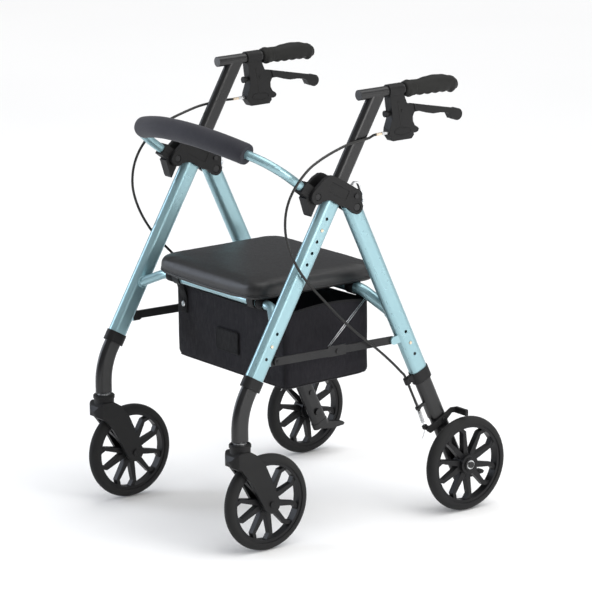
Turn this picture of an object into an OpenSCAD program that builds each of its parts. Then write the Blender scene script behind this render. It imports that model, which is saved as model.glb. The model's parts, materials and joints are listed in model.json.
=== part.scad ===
// Folding rollator walker with seat, bag and cable brakes.
// +Z is up, the front (casters and backrest) faces -Y and the left side is +X.
// The origin is on the floor, in the middle of the four wheels.

/* [Overall] */
// Distance from the middle plane to each side frame
side_x = 247; // [240:1:255]
// Distance of both axles from the origin, front and back
axle_y = 248; // [244:1:256]
// Distance from the middle plane to each rear wheel
rear_wheel_x = 282; // [282:0.5:286]

/* [Wheels] */
// Outer diameter of all four tyres
wheel_d = 203; // [200:1:206]
// Width of the tyres
tyre_w = 25; // [22:0.5:25]
// Inner radius of the rim band
rim_r = 78.5; // [76:0.5:80]
// Distance from the caster's swivel axis back to its axle
trail = 62; // [55:1:65]

/* [Side frames] */
// Lean of the front legs and the handle stems from vertical
front_lean = 30.2; // [29:0.1:31]
// Height at which the straight front leg would meet the swivel axis
elbow_z = 301; // [295:1:306]
// Height of the hinge between the front and rear legs
hinge_z = 689; // [684:1:694]
// Forward position of that hinge
hinge_y = -22; // [-26:1:-18]
// Fore-aft size of the oval leg tubes
leg_f = 42; // [41:0.5:43]
// Sideways size of the oval leg tubes
leg_w = 25; // [24:0.5:25]
// Wall of the leg tubes
wall = 1.5; // [1.2:0.1:1.6]
// Spacing of the handle height holes
handle_pitch = 25.4; // [22:0.1:26]
// Spacing of the leg height holes
leg_pitch = 28; // [24:0.5:29]

/* [Handles] */
// Height of the handlebars
bar_z = 915; // [905:1:925]
// Diameter of the handlebars
bar_d = 22; // [21:0.5:22.5]

/* [Seat and bag] */
// Width of the seat cushion
seat_w = 364; // [340:2:368]
// Front edge of the cushion
seat_y0 = -219; // [-222:1:-212]
// Back edge of the cushion
seat_y1 = 104; // [90:1:106]
// Width of the bag
bag_w = 392; // [360:2:394]
// Depth of the bag, front to back
bag_d = 222; // [200:2:223]
// Height of the bag's floor
bag_z = 305; // [300:1:320]
// Height of the bag's rim
bag_top = 465; // [440:1:465]

/* [Backrest] */
// Angle of the backrest loop above level, leaning forward
back_tilt = 37.8; // [36:0.1:42]
// Reach of the loop's crown from its pivots
back_reach = 182; // [176:1:196]
// Radius of the padded bow
bow_r = 478; // [440:2:520]
// Diameter of the foam sleeve
foam_d = 44; // [40:1:46]

/* [Hidden] */
$fn = 64;
fit = 0.3;
wheel_r = wheel_d / 2;
seat_r = wheel_r - 16;
spoke_turn = 60;
rear_lean = atan2(axle_y - hinge_y, hinge_z - wheel_r);
stem_y = -axle_y - trail;
elbow_r = 150;
elbow_t = elbow_r * tan(front_lean / 2);
lower_f = leg_f - 2 * wall - 1;
lower_w = leg_w - 2 * wall - 1;
stem_f = 36.5;
stem_w = 20;
front_tube_d = 20;
rear_tube_d = 25;
// stations along the front leg, up from the elbow
collar_t = 51;
leg_t0 = 68;
leg_t1 = 492;
handle_hole_t = 405;
leg_hole_t = 147.5;
// stations along the rear leg, down from the hinge
rear_hole_s = 340.5;
rear_end_s = 414;
ring_z = 12;
bracket_s = 489;
adjuster_s = 466;
// the brake cable runs parallel to the rear leg, this far outboard of and ahead of its axis
cable_x = 2;
cable_y = 36.5;
// pivots as [y, z]
back_pivot = [-121, 724];
hub_clamp = [-24.5, 713];
strut_front_pin = [-218, 394];
strut_rear_pin = [82, 389];
knee = [-66, 391];
strut_w = 17;
lever_pivot = [104, 872];
arm_pivot = [206, 199];
front_run = [-185, 491];
rear_run = [48, 492.2];
front_weld = [-212, 469];
rear_weld = [88, 447];
run_x = 190;
hub_gap = leg_w + 2 * fit;
hub_t = 8.5;
// underside and crown of the cushion, its doming, and the board below it
seat_z = 513.8;
seat_top = 550;
crown_r = 1700;
board_t = 7;
skirt = 6.5;
seat_corner = 34;
bag_y0 = -157;
side_droop = 18;
strap_x = 160;
// route of the left brake cable as [x, y, z], from the lever down to the wheel
cable_d = 5.5;
cable_route = [
  [250, 40.2, 829], [251.5, 34, 828.8], [256, 25, 828], [261.4, 14, 827],
  [263, 0, 825.8], [263, -16, 824.3], [264, -42, 821], [266, -78, 812],
  [269, -115, 800], [271, -146, 785],
  [272, -173, 762], [272, -193, 736], [272, -205, 706], [272, -208, 672],
  [271, -202, 640], [270, -188, 606], [269, -168, 573], [268, -142, 541],
  [267, -112, 510], [266, -82, 479], [265, -50, 448], [263, -18, 420],
  [260, 18, 392], [257, 52, 364], [254, 82, 337], [251, 101, 319],
  [249, 111.5, 309.5], [249, 115.5, 302], [249, 121.5, 289.5],
  [249, 128.5, 274], [249, 135, 260], [249, 139.2, 250.7]];

module both() { children(); mirror([1, 0, 0]) children(); }
// local z runs up the left front leg, local y is rearward across it
module front_at(t) {
  translate([side_x, stem_y + t * sin(front_lean), elbow_z + t * cos(front_lean)])
    rotate([-front_lean, 0, 0]) children();
}
// local z runs up the left rear leg, local y is rearward across it
module rear_at(s) {
  translate([side_x, hinge_y + s * sin(rear_lean), hinge_z - s * cos(rear_lean)])
    rotate([rear_lean, 0, 0]) children();
}
// a [y, z] outline given thickness along x, from x0
module slab(x0, t) { translate([x0, 0, 0]) rotate([90, 0, 90]) linear_extrude(t) children(); }
module pin(x0, x1, p, d) {
  translate([x0, p[0], p[1]]) rotate([0, 90, 0]) cylinder(d = d, h = x1 - x0);
}
module oval(f, w) {
  square([w, f - w], center = true);
  for (s = [-1, 1]) translate([0, s * (f - w) / 2]) circle(d = w);
}
module oval_tube(f, w, l, t) {
  linear_extrude(l) difference() { oval(f, w); oval(f - 2 * t, w - 2 * t); }
}
// a button hole through the outer wall of a leg
module button_hole() {
  translate([leg_w / 2 - 3, 0, 0]) rotate([0, 90, 0]) cylinder(d = 7.2, h = 6);
}
module bar_2d(a, b, w) {
  d = b - a;
  translate(a) rotate(atan2(d[1], d[0])) {
    translate([0, -w / 2]) square([norm(d), w]);
    circle(d = w);
    translate([norm(d), 0]) circle(d = w);
  }
}
module round_rect(w, d, r) {
  square([w, d - 2 * r], center = true);
  square([w - 2 * r, d], center = true);
  for (x = [-1, 1], y = [-1, 1]) translate([x * (w / 2 - r), y * (d / 2 - r)]) circle(r = r);
}
// a bar swept along a path that lies in the XY plane, one ring at each point
function arc_path(c, r, a0, a1, n) = [for (k = [0 : n]) let (a = a0 + (a1 - a0) * k / n)
  c + r * [cos(a), sin(a)]];
function flip(p) = [for (i = [len(p) - 1 : -1 : 0]) [-p[i][0], p[i][1]]];
module bent_bar(p, d, n = 24) {
  m = len(p);
  pts = [for (i = [0 : m - 1]) let (t = p[min(i + 1, m - 1)] - p[max(i - 1, 0)],
    b = [t[1], -t[0], 0] / norm(t))
    for (k = [0 : n - 1]) [p[i][0], p[i][1], 0] + d / 2 * (cos(360 * k / n) * b + [0, 0, sin(360 * k / n)])];
  polyhedron(pts, concat([[for (k = [0 : n - 1]) k]], [[for (k = [n - 1 : -1 : 0]) (m - 1) * n + k]],
    [for (i = [0 : m - 2], k = [0 : n - 1]) let (j = (k + 1) % n)
      each [[i * n + k, (i + 1) * n + k, i * n + j], [i * n + j, (i + 1) * n + k, (i + 1) * n + j]]]));
}

// ---- front frame ----
module front_leg() {
  color("#9fd0da") {
    difference() {
      front_at(leg_t0) oval_tube(leg_f, leg_w, leg_t1 - leg_t0, wall);
      for (k = [-4 : 1]) front_at(handle_hole_t + k * handle_pitch) button_hole();
      for (k = [-1 : 1]) front_at(leg_hole_t + k * leg_pitch) button_hole();
    }
    difference() {
      slab(side_x - 3, 5.8) difference() {
        bar_2d(strut_front_pin, strut_front_pin - [24, 0], 20);
        translate(strut_front_pin - [60, 12]) square([46, 60]);
      }
      front_at(leg_t0) linear_extrude(leg_t1 - leg_t0) oval(leg_f, leg_w);
    }
    pin(side_x + 2.8, side_x + 9.6, strut_front_pin, 6);
  }
}
module front_leg_left() front_leg();
module front_leg_right() mirror([1, 0, 0]) front_leg();

// a straight run between two bent ends that reach down to the legs
module cross_tube(run, weld, bend_r, dia) {
  d = weld - run;
  a = atan2(norm(d), side_x - leg_w / 2 - run_x);
  half = run_x - bend_r * tan(a / 2);
  bend = arc_path([half, bend_r], bend_r, -90, -90 + a, 7);
  tail = norm([side_x - leg_w / 2 - run_x, norm(d)]) - bend_r * tan(a / 2) + 8;
  arm = concat(bend, [bend[7] + tail * [cos(a), sin(a)]]);
  translate([0, run[0], run[1]]) rotate([atan2(d[1], d[0]), 0, 0])
    bent_bar(concat(flip(arm), arm), dia);
}
module front_cross_tube() {
  color("#9fd0da") difference() {
    cross_tube(front_run, front_weld, 40, front_tube_d);
    both() front_at(leg_t0) translate([0, 0, -20]) linear_extrude(300) oval(leg_f, leg_w);
  }
}

module hub_outline() {
  polygon([[-129, 709.5], [-97, 714], [-84, 710.5], [-71, 701], [-46, 690],
    [-35, 680], [-22, 674.5], [-12, 680], [-10, 700], [-20, 726], [-33, 735],
    [-60, 751], [-82, 763], [-92, 763.5], [-106, 757], [-132, 736]]);
  translate(back_pivot) circle(r = 16);
  translate([hinge_y, hinge_z]) circle(r = 14.5);
  translate([-31, 708]) circle(r = 22);
}
module hub_plate(x, recess_x) {
  difference() {
    slab(x, hub_t) hub_outline();
    pin(x - 1, x + hub_t + 1, back_pivot, 8.4);
    pin(x - 1, x + hub_t + 1, [hinge_y, hinge_z], 8.4);
    pin(x - 1, x + hub_t + 1, hub_clamp, 6.4);
    pin(recess_x, recess_x + 4, back_pivot, 15);
    pin(recess_x, recess_x + 4, [hinge_y, hinge_z], 17);
    slab(recess_x + (recess_x > x ? 2.6 : -2.6), 4)
      translate([-69, 729]) rotate(-30) round_rect(52, 21, 3);
  }
}
module hub_outer() color("#2f2f31") hub_plate(side_x + hub_gap / 2, side_x + hub_gap / 2 + hub_t - 3.5);
module hub_inner() color("#2f2f31") hub_plate(side_x - hub_gap / 2 - hub_t, side_x - hub_gap / 2 - hub_t - 0.5);
module hub_outer_left() hub_outer();
module hub_outer_right() mirror([1, 0, 0]) hub_outer();
module hub_inner_left() hub_inner();
module hub_inner_right() mirror([1, 0, 0]) hub_inner();

module hub_bolt(p, d, head, x1) {
  pin(side_x - x1, side_x + x1, p, d);
  for (x = [-x1 - 2.4, x1]) pin(side_x + x, side_x + x + 2.4, p, head);
}
module hub_bolts() {
  x = hub_gap / 2 + hub_t - 3.2;
  color("#3a3a3c") both() {
    hub_bolt(back_pivot, 8, 13, x);
    hub_bolt([hinge_y, hinge_z], 8, 15, x);
    hub_bolt(hub_clamp, 6, 10, hub_gap / 2 + hub_t + 0.1);
  }
}
module hub_springs() {
  color("#c9ced2") both() slab(side_x - 4, 8) difference() {
    polygon([[-20, 733], [-14, 738.5], [-5, 737], [0, 728], [3, 719], [8, 711],
      [5.5, 704], [9, 697], [6, 690], [9, 684], [5.5, 684], [3, 690], [6, 697],
      [2.5, 704], [5, 711], [0, 718], [-3, 727], [-7, 734], [-13, 735.5], [-18, 731]]);
    translate([hinge_y, hinge_z]) circle(r = 24);
  }
}

module front_collar() {
  front_at(collar_t) difference() {
    linear_extrude(23) oval(leg_f + 5, leg_w + 5);
    translate([0, 0, -1]) linear_extrude(30) oval(lower_f + 2.6, lower_w + 2);
    translate([0, 0, leg_t0 - collar_t - 0.1]) linear_extrude(30) oval(leg_f + 0.2, leg_w + 0.2);
  }
}
module front_collars() color("#2b2b2d") both() front_collar();

module bag() {
  h = bag_top - bag_z;
  color("#1d1d1f") translate([0, bag_y0 + bag_d / 2, bag_z]) difference() {
    linear_extrude(h) round_rect(bag_w, bag_d, 14);
    translate([0, 0, 3]) linear_extrude(h) round_rect(bag_w - 5, bag_d - 5, 11.5);
    // the side walls hang lower than the front one
    both() translate([bag_w / 2 - 12, 18 - bag_d / 2, h - side_droop])
      cube([13, bag_d, side_droop + 1]);
  }
}
// a webbing loop round a cross tube, with its tail down the bag's wall
module strap(run, dia, wall_y, x, side) {
  slab(x - 12, 24) difference() {
    union() {
      translate(run) circle(d = dia + 3.4);
      bar_2d(run + [side * (dia / 2 + 0.8), -2], [wall_y, bag_top + 3], 1.8);
      bar_2d([wall_y, bag_top + 3], [wall_y, 412], 1.8);
    }
    translate(run) circle(d = dia + 0.6);
  }
}
module bag_straps() {
  color("#161617") both() {
    strap(front_run, front_tube_d, bag_y0 - 1.4, strap_x, 1);
    strap(rear_run, rear_tube_d, bag_y0 + bag_d + 1.4, strap_x, 1);
  }
}

// ---- backrest ----
module back_plane() {
  translate([0, back_pivot[0], back_pivot[1]]) rotate([180 - back_tilt, 0, 0]) children();
}
back_d = 19;
back_bend = 80;
back_turn = asin((side_x - back_bend) / (bow_r - back_bend));
back_s0 = back_reach - bow_r + (bow_r - back_bend) * cos(back_turn);
module back_bow(r, d, a) {
  translate([0, back_reach - bow_r, 0]) rotate(90 - a)
    rotate_extrude(angle = 2 * a, $fn = 240) translate([r, 0]) circle(d = d, $fn = 32);
}
module backrest_tube() {
  arm = concat(arc_path([0, back_reach - bow_r], bow_r, 89, 90 - back_turn, 7),
    [for (i = [1 : 8]) arc_path([side_x - back_bend, back_s0], back_bend, 90 - back_turn, 0, 8)[i]],
    [[side_x, 18]]);
  color("#9fd0da") back_plane() bent_bar(concat(flip(arm), arm), back_d);
}
module backrest_foam() {
  a = asin(183 / bow_r);
  color("#2c2c30") back_plane() difference() {
    back_bow(bow_r, foam_d, a);
    back_bow(bow_r, back_d + 0.8, a + 1);
  }
}
module backrest_socket() {
  difference() {
    union() {
      slab(side_x - 12, 24) {
        translate(back_pivot) circle(r = 14);
        translate(back_pivot) rotate(180 - back_tilt) translate([0, -13]) square([36, 26]);
        difference() {
          polygon([[-146, 722], [-135, 687], [-128, 676], [-114, 668], [-101, 673],
            [-98, 716], [-121, 738]]);
          translate([stem_y, elbow_z]) rotate(90 - front_lean)
            translate([300, -leg_f / 2 - fit]) square([200, 60]);
        }
      }
      back_plane() translate([side_x, 20, 0]) rotate([-90, 0, 0]) cylinder(d = 25, h = 17);
    }
    back_plane() translate([side_x, 17.5, 0]) rotate([-90, 0, 0]) cylinder(d = back_d + 0.2, h = 30);
    pin(side_x - 20, side_x + 20, back_pivot, 8.4);
    pin(side_x + 8, side_x + 20, [-115, 680], 8);
  }
}
module backrest_sockets() color("#2f2f31") both() backrest_socket();

// ---- seat ----
module seat_cushion() {
  depth = seat_y1 - seat_y0;
  color("#26262a") translate([0, seat_y0 + depth / 2, seat_z - board_t]) difference() {
    intersection() {
      linear_extrude(60) round_rect(seat_w, depth, seat_corner);
      translate([0, 0, seat_top - seat_z + board_t - crown_r]) sphere(r = crown_r, $fn = 360);
    }
    // the cover wraps round the board's edge
    translate([0, 0, -1]) linear_extrude(board_t + 1)
      round_rect(seat_w - 2 * skirt, depth - 2 * skirt, seat_corner - skirt);
  }
}
module seat_board() {
  inset = 2 * (skirt + fit);
  color("#141415") translate([0, (seat_y0 + seat_y1) / 2, seat_z - board_t])
    linear_extrude(board_t)
      round_rect(seat_w - inset, seat_y1 - seat_y0 - inset, seat_corner - inset / 2);
}
// hooks that clip the board to the front cross tube
module seat_clip(x) {
  slab(x - 11, 22) difference() {
    union() {
      translate(front_run) circle(d = front_tube_d + 8);
      translate([front_run[0] - 15, front_run[1]]) square([30, seat_z - board_t - front_run[1]]);
    }
    translate(front_run) circle(d = front_tube_d + 0.6);
    translate(front_run - [8, 30]) square([16, 30]);
  }
}
module seat_clips() color("#1b1b1c") both() seat_clip(133);

// ---- rear frame ----
module rear_leg() {
  color("#9fd0da") {
    difference() {
      rear_at(rear_end_s) oval_tube(leg_f, leg_w, rear_end_s + 8, wall);
      for (k = [-1 : 1]) rear_at(rear_hole_s + k * leg_pitch) button_hole();
      pin(side_x - 20, side_x + 20, [hinge_y, hinge_z], 8.4);
    }
    difference() {
      slab(side_x + 3.3, 5) bar_2d(strut_rear_pin, strut_rear_pin + [24, 4], 17);
      rear_at(rear_end_s) linear_extrude(rear_end_s) oval(leg_f, leg_w);
    }
    pin(side_x - 4.5, side_x + 3.3, strut_rear_pin, 6);
  }
}
module rear_leg_left() rear_leg();
module rear_leg_right() mirror([1, 0, 0]) rear_leg();
module rear_cross_tube() {
  color("#9fd0da") difference() {
    cross_tube(rear_run, rear_weld, 34, rear_tube_d);
    both() rear_at(rear_end_s) linear_extrude(rear_end_s) oval(leg_f, leg_w);
  }
}
module rear_collar() {
  rear_at(rear_end_s + 22) difference() {
    union() {
      linear_extrude(26) oval(leg_f + 4, leg_w + 4);
      translate([cable_x, -cable_y, ring_z]) cylinder(d = 13, h = 14);
      translate([cable_x - 4, -cable_y, ring_z]) cube([8, cable_y - leg_f / 2, 14]);
    }
    translate([0, 0, -1]) linear_extrude(40) oval(lower_f + 1, lower_w + 1);
    translate([0, 0, 21.9]) linear_extrude(30) oval(leg_f + 0.2, leg_w + 0.2);
    translate([cable_x, -cable_y, ring_z - 1]) cylinder(d = cable_d + 2.5, h = 16);
  }
}
module rear_collars() color("#2b2b2d") both() rear_collar();
// spring wires from the knees of the side struts up to the rear cross tube
module knee_wires() {
  a = [side_x + 2, knee[0] - 20, knee[1] + 10];
  b = [204, 45.5, 475];
  d = b - a;
  color("#8b8f92") both() translate(a)
    rotate([0, acos(d[2] / norm(d)), atan2(d[1], d[0])]) cylinder(d = 2.4, h = norm(d));
}

// ---- handles ----
module handle() {
  stem_top = (bar_z - elbow_z) / cos(front_lean);
  color("#39393b") difference() {
    union() {
      front_at(372) linear_extrude(stem_top - 372) oval(stem_f, stem_w);
      translate([side_x, -1, bar_z]) rotate([-90, 0, 0]) cylinder(d = bar_d, h = 245);
    }
    front_at(371) linear_extrude(stem_top - 371 - 16) oval(stem_f - 3, stem_w - 3);
    front_at(handle_hole_t) translate([stem_w / 2 - 3, 0, 0]) rotate([0, 90, 0]) cylinder(d = 7, h = 6);
    translate([side_x, 70, bar_z]) rotate([-90, 0, 0]) cylinder(d = bar_d - 4, h = 200);
  }
}
module handle_left() handle();
module handle_right() mirror([1, 0, 0]) handle();
module grip() {
  color("#232324") translate([side_x, 0, bar_z]) rotate([-90, 0, 0])
    rotate_extrude() polygon([[bar_d / 2 + 0.1, 116], [16, 116], [18.5, 119],
      [18.5, 126], [16.2, 134], [17, 150], [19.3, 172], [20.6, 198],
      [20.6, 232], [18.5, 246], [13, 253], [6, 255.5], [0, 256], [0, 246],
      [bar_d / 2 + 0.1, 246]]);
}
module grip_left() grip();
module grip_right() mirror([1, 0, 0]) grip();

module brake_housing() {
  color("#2d2d2e") {
    difference() {
      union() {
        slab(side_x - 10.5, 21) {
          polygon([[74, 915], [73, 904], [76, 881], [79, 860], [71, 837],
            [70, 825], [80, 811], [128, 811], [134, 818], [131, 846], [117, 885],
            [109, 904], [107, 915]]);
        }
        translate([side_x, 72, bar_z]) rotate([-90, 0, 0]) cylinder(d = 27.5, h = 36);
      }
      translate([side_x, 60, bar_z]) rotate([-90, 0, 0]) cylinder(d = bar_d + 0.1, h = 60);
      slab(side_x - 7.2, 14.4) polygon([[91, 805], [150, 805], [150, 893], [92, 893], [91, 860]]);
      pin(side_x - 8, side_x + 8, lever_pivot, 6.4);
    }
    pin(side_x - 11.5, side_x + 11.5, lever_pivot, 6);
  }
  // push stud and the cable's adjuster and ferrule
  color("#1c1c1d") {
    translate([side_x, 79, 868]) rotate([90, 0, 0]) cylinder(d = 9, h = 9);
    translate([side_x, 71, 868]) rotate([90, 0, 0]) cylinder(d = 14, h = 5.5);
  }
  color("#c6ccce") {
    translate([side_x + 3, 71.5, 829]) rotate([90, 0, 0]) cylinder(d = 7, h = 16);
    translate([side_x + 3, 55.5, 829]) rotate([90, 0, 0]) cylinder(d = 6, h = 14.5);
  }
}
module brake_housing_left() brake_housing();
module brake_housing_right() mirror([1, 0, 0]) brake_housing();

module brake_lever() {
  color("#2d2d2e") difference() {
    union() {
      slab(side_x - 6.9, 13.8) polygon([[95, 878], [104, 883], [118, 885], [160, 876],
        [160, 862], [145, 866.5], [138, 864], [134, 856], [134.5, 846], [139, 837],
        [147, 832], [150, 828], [147.5, 823], [140, 821], [122, 824], [104, 846]]);
      slab(side_x - 9, 18) {
        polygon([[136, 881.5], [250, 857.5], [250, 838], [236, 838], [230, 849],
          [222, 853], [205, 855.5], [186, 855.5], [168, 859.5], [150, 865.5], [140, 865.5]]);
        translate([250, 846]) circle(r = 12.5);
      }
    }
    pin(side_x - 20, side_x + 20, lever_pivot, 6.4);
  }
}
module brake_lever_left() brake_lever();
module brake_lever_right() mirror([1, 0, 0]) brake_lever();

// a round cord swept along a route, one ring at each point
function along(r, i) = let (a = r[max(i - 1, 0)], b = r[min(i + 1, len(r) - 1)], d = b - a) d / norm(d);
function spline(p, u) = let (i = min(floor(u), len(p) - 2), f = u - i,
  a = p[max(i - 1, 0)], b = p[i], c = p[i + 1], d = p[min(i + 2, len(p) - 1)])
  0.5 * (2 * b + (c - a) * f + (2 * a - 5 * b + 4 * c - d) * f * f + (3 * b - a - 3 * c + d) * f * f * f);
module cord(p, d, per) {
  n = 10;
  r = [for (k = [0 : (len(p) - 1) * per]) spline(p, k / per)];
  pts = [for (i = [0 : len(r) - 1]) let (t = along(r, i), u = cross(t, [1, 0, 0]),
    a = u / norm(u), b = cross(t, a))
    for (k = [0 : n - 1]) r[i] + d / 2 * (cos(360 * k / n) * a + sin(360 * k / n) * b)];
  m = len(r);
  polyhedron(pts, concat([[for (k = [0 : n - 1]) k]], [[for (k = [n - 1 : -1 : 0]) (m - 1) * n + k]],
    [for (i = [0 : m - 2], k = [0 : n - 1]) let (j = (k + 1) % n)
      each [[i * n + k, (i + 1) * n + k, i * n + j], [i * n + j, (i + 1) * n + k, (i + 1) * n + j]]]));
}
module brake_cable() color("#202021") cord(cable_route, cable_d, 2);
module brake_cable_left() brake_cable();
module brake_cable_right() mirror([1, 0, 0]) brake_cable();

// ---- sliding lower legs ----
module front_lower_leg() {
  end_z = elbow_z - elbow_t;
  top_t = 165;
  color("#242426") difference() {
    union() {
      front_at(elbow_t) linear_extrude(top_t - elbow_t) oval(lower_f, lower_w);
      translate([side_x, stem_y + elbow_r, end_z]) rotate([90, 0, -90])
        rotate_extrude(angle = front_lean, $fn = 128) translate([elbow_r, 0]) rotate(90) oval(lower_f, lower_w);
      translate([side_x, stem_y, 240]) linear_extrude(end_z - 240) oval(lower_f, lower_w);
    }
    front_at(elbow_t + 5) linear_extrude(top_t) oval(lower_f - 3, lower_w - 3);
    translate([side_x, stem_y, 230]) cylinder(d = 12.6, h = 36);
    front_at(leg_hole_t) translate([lower_w / 2 - 3, 0, 0]) rotate([0, 90, 0]) cylinder(d = 7, h = 6);
  }
}
module front_lower_leg_left() front_lower_leg();
module front_lower_leg_right() mirror([1, 0, 0]) front_lower_leg();

module rear_lower_leg() {
  top_s = 322;
  end_s = 672;
  color("#242426") {
    difference() {
      rear_at(end_s) linear_extrude(end_s - top_s) oval(lower_f, lower_w);
      rear_at(450) linear_extrude(200) oval(lower_f - 3, lower_w - 3);
      pin(side_x - 20, side_x + 20, [axle_y, wheel_r], 10.2);
      rear_at(rear_hole_s) translate([lower_w / 2 - 3, 0, 0]) rotate([0, 90, 0]) cylinder(d = 7, h = 6);
      pin(side_x - 20, side_x + 20, arm_pivot, 6.2);
    }
    // end cap with the curb pedal
    difference() {
      union() {
        rear_at(end_s + 14) linear_extrude(13.8) oval(lower_f + 2, lower_w + 2);
        slab(side_x - 8, 12) polygon([[252, 62], [290, 56], [322, 59], [325, 63],
          [320, 67.5], [290, 73], [266, 79]]);
      }
      rear_at(end_s - 0.2) linear_extrude(80) oval(lower_f + 20, lower_w + 20);
    }
    // axle and brake pivot
    pin(side_x - 13.5, side_x + 54.3, [axle_y, wheel_r], 10);
    pin(side_x + 54.3, side_x + 56.3, [axle_y, wheel_r], 14);
    pin(side_x - 16, side_x - 13.5, [axle_y, wheel_r], 16);
    pin(side_x + 10.6, side_x + 15.5, [axle_y, wheel_r], 16);
    pin(side_x - 13, side_x + 18, arm_pivot, 6);
    pin(side_x + 16.4, side_x + 18.4, arm_pivot, 11);
    pin(side_x - 13.2, side_x - 10.6, [232, 148], 12);
    // cable bracket with its adjuster
    difference() {
      rear_at(bracket_s) union() {
        translate([cable_x, -cable_y, 0]) cylinder(d = 12, h = 5);
        translate([cable_x - 3, -cable_y, 0]) cube([6, cable_y - lower_f / 2 + 0.5, 5]);
        translate([cable_x - 3, -lower_f / 2 - 3, -34]) cube([6, 4.5, 39]);
      }
      rear_at(bracket_s + 1) translate([cable_x, -cable_y, 0]) cylinder(d = 6.2, h = 8);
    }
    rear_at(adjuster_s + 34) translate([cable_x, -cable_y, 0]) difference() {
      cylinder(d = 6, h = 34);
      translate([0, 0, -1]) cylinder(d = 2, h = 20);
    }
  }
}
module rear_lower_leg_left() rear_lower_leg();
module rear_lower_leg_right() mirror([1, 0, 0]) rear_lower_leg();

// ---- casters and wheels ----
module caster_fork() {
  color("#2b2b2d") {
    difference() {
      union() {
        slab(side_x - 24, 48) {
          polygon([[-326, 221], [-336, 214], [-341, 203], [-339, 192], [-322, 184], [-300, 155],
            [-266, 94], [-230, 94], [-236, 124], [-249, 155], [-262, 184],
            [-284, 211], [-300, 221]]);
          translate([-axle_y, wheel_r]) circle(r = 20);
        }
        translate([side_x, stem_y, 200]) cylinder(d = 43, h = 36);
        translate([side_x, stem_y, 229]) cylinder(d = 46, h = 5);
      }
      pin(side_x - 14.5, side_x + 14.5, [-axle_y, wheel_r], 2 * wheel_r + 8);
      pin(side_x - 30, side_x + 30, [-axle_y, wheel_r], 8.2);
      translate([side_x, stem_y, 190]) cylinder(d = 12.2, h = 60);
      // the front of the fork's shoulders is round in plan
      translate([side_x, stem_y, 150]) difference() {
        translate([-30, -50, 0]) cube([60, 50, 90]);
        translate([0, 0, -1]) cylinder(r = 31, h = 92);
      }
    }
    translate([side_x, stem_y, 206]) cylinder(d = 12, h = 58);
    translate([side_x, stem_y, 236.2]) difference() {
      cylinder(d = 28, h = 2);
      translate([0, 0, -1]) cylinder(d = 12.2, h = 6);
    }
    pin(side_x - 24.5, side_x + 24.5, [-axle_y, wheel_r], 8);
    for (x = [-27.4, 24.5]) pin(side_x + x, side_x + x + 2.9, [-axle_y, wheel_r], 13);
  }
}
module caster_fork_left() caster_fork();
module caster_fork_right() mirror([1, 0, 0]) caster_fork();

module at_wheel(x, y) translate([x, y, wheel_r]) rotate([0, 90, 0]) children();
module tyre() {
  w = tyre_w / 2;
  rotate_extrude($fn = 128) difference() {
    translate([wheel_r - w, 0]) circle(r = w);
    translate([wheel_r - 2 * w - 1, -w - 1]) square([seat_r - wheel_r + 2 * w + 1, 2 * w + 2]);
  }
}
module rim(hub_w, bore) {
  hub_r = 21;
  difference() {
    union() {
      rotate_extrude($fn = 128) translate([rim_r, -10]) square([seat_r - rim_r, 20]);
      for (k = [0 : 4]) rotate(72 * k + spoke_turn) translate([0, 0, -7]) linear_extrude(14) difference() {
        polygon([[9, -8.5], [9, 8.5], [66, 26], [rim_r + 1, 20], [rim_r + 1, -20], [66, -26]]);
        polygon([[24, 0], [65, 17.5], [rim_r + 2, 11], [rim_r + 2, -11], [65, -17.5]]);
      }
      translate([0, 0, -hub_w / 2]) cylinder(r = 14, h = hub_w);
      translate([0, 0, -hub_w / 2 + 3]) cylinder(r = hub_r, h = hub_w - 6);
    }
    cylinder(d = bore, h = 80, center = true);
    for (s = [-1, 1]) translate([0, 0, s * (hub_w / 2 - 3) - 3.2]) cylinder(d = 19.2, h = 6.4);
  }
  for (s = [-1, 1]) translate([0, 0, s * (hub_w / 2 - 3) - 2.9]) difference() {
    cylinder(d = 19, h = 5.8);
    translate([0, 0, -1]) cylinder(d = bore, h = 9);
  }
}
module front_tyre_left() color("#1a1a1b") at_wheel(side_x, -axle_y) tyre();
module front_tyre_right() color("#1a1a1b") mirror([1, 0, 0]) at_wheel(side_x, -axle_y) tyre();
module front_rim_left() color("#222224") at_wheel(side_x, -axle_y) rim(28, 8.4);
module front_rim_right() color("#222224") mirror([1, 0, 0]) at_wheel(side_x, -axle_y) rim(28, 8.4);
module rear_tyre_left() color("#1a1a1b") at_wheel(rear_wheel_x, axle_y) tyre();
module rear_tyre_right() color("#1a1a1b") mirror([1, 0, 0]) at_wheel(rear_wheel_x, axle_y) tyre();
module rear_rim_left() color("#222224") at_wheel(rear_wheel_x, axle_y) rim(38, 10.4);
module rear_rim_right() color("#222224") mirror([1, 0, 0]) at_wheel(rear_wheel_x, axle_y) rim(38, 10.4);

// ---- brakes ----
module brake_arm() {
  shoe = [238, 208.5];
  color("#1e1e1f") difference() {
    union() {
      slab(side_x + 12, 4) {
        polygon([[163, 181], [171, 176], [180, 180], [215, 199], [228, 211], [245, 208.5],
          [245, 221], [226, 222], [214, 215], [200, 206], [166, 190]]);
      }
      slab(side_x + 12, 37) translate(shoe) square([7, 12.5]);
      // ring that takes the cable's wire
      rear_at(537) translate([cable_x, -cable_y - 2, 0]) cylinder(d = 12, h = 6);
      slab(side_x - 1, 17) translate([167, 181]) square([8, 8]);
    }
    pin(side_x, side_x + 30, arm_pivot, 6.4);
    rear_at(534) translate([cable_x, -cable_y - 2, 0]) cylinder(d = 3, h = 20, center = true);
  }
}
module brake_arm_left() brake_arm();
module brake_arm_right() mirror([1, 0, 0]) brake_arm();

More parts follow.
